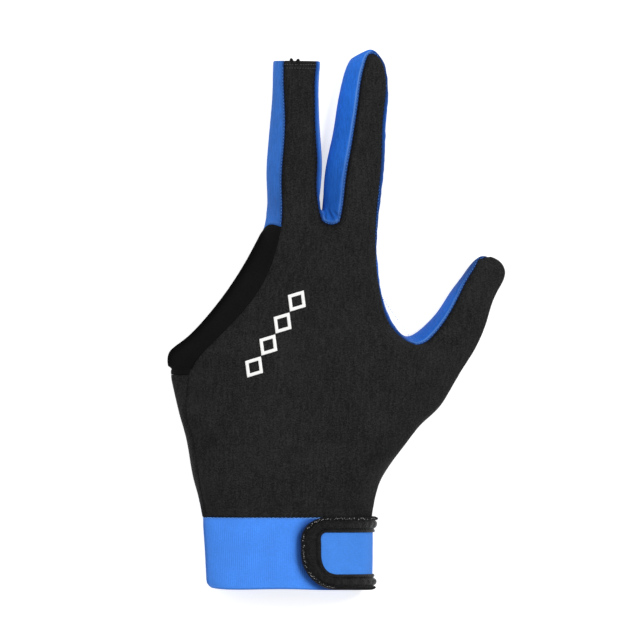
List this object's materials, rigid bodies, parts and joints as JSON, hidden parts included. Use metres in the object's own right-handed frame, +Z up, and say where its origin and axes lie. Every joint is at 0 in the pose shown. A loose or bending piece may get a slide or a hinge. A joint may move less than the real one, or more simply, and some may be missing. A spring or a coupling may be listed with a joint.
{
  "type": "billiard glove",
  "caption": "Left-hand billiard glove in stretch knit with an open middle fingertip, a side mouth for the bare fingers and a strapped wrist cuff.",
  "frame": {"origin": "on the surface that the glove lies on, under the centre of its outline", "axes": "+Y from the wrist to the fingertips, +X towards the thumb, +Z up out of the back of the hand"},
  "size_m": [0.138, 0.2212, 0.0317],
  "materials": {
    "black_knit": "matt stretch knit with a fine grain",
    "blue_knit": "matt stretch knit with a fine grain",
    "black_band": "smooth dense elastic edging",
    "blue_elastic": "soft elastic with fine ribs round the wrist",
    "black_binding": "folded bias binding, slightly puffed",
    "hook_tape": "matt nylon hook tape",
    "white_print": "thin matt transfer print"
  },
  "bodies": {
    "root": {"back_panel": "black_knit", "palm_panel": "black_knit", "finger_gusset": "blue_knit", "middle_gusset": "blue_knit", "opening_band": "black_band", "wrist_cuff": "blue_elastic", "strap": "blue_elastic", "strap_binding": "black_binding", "hook_patch": "hook_tape"}
  },
  "joints": []
}
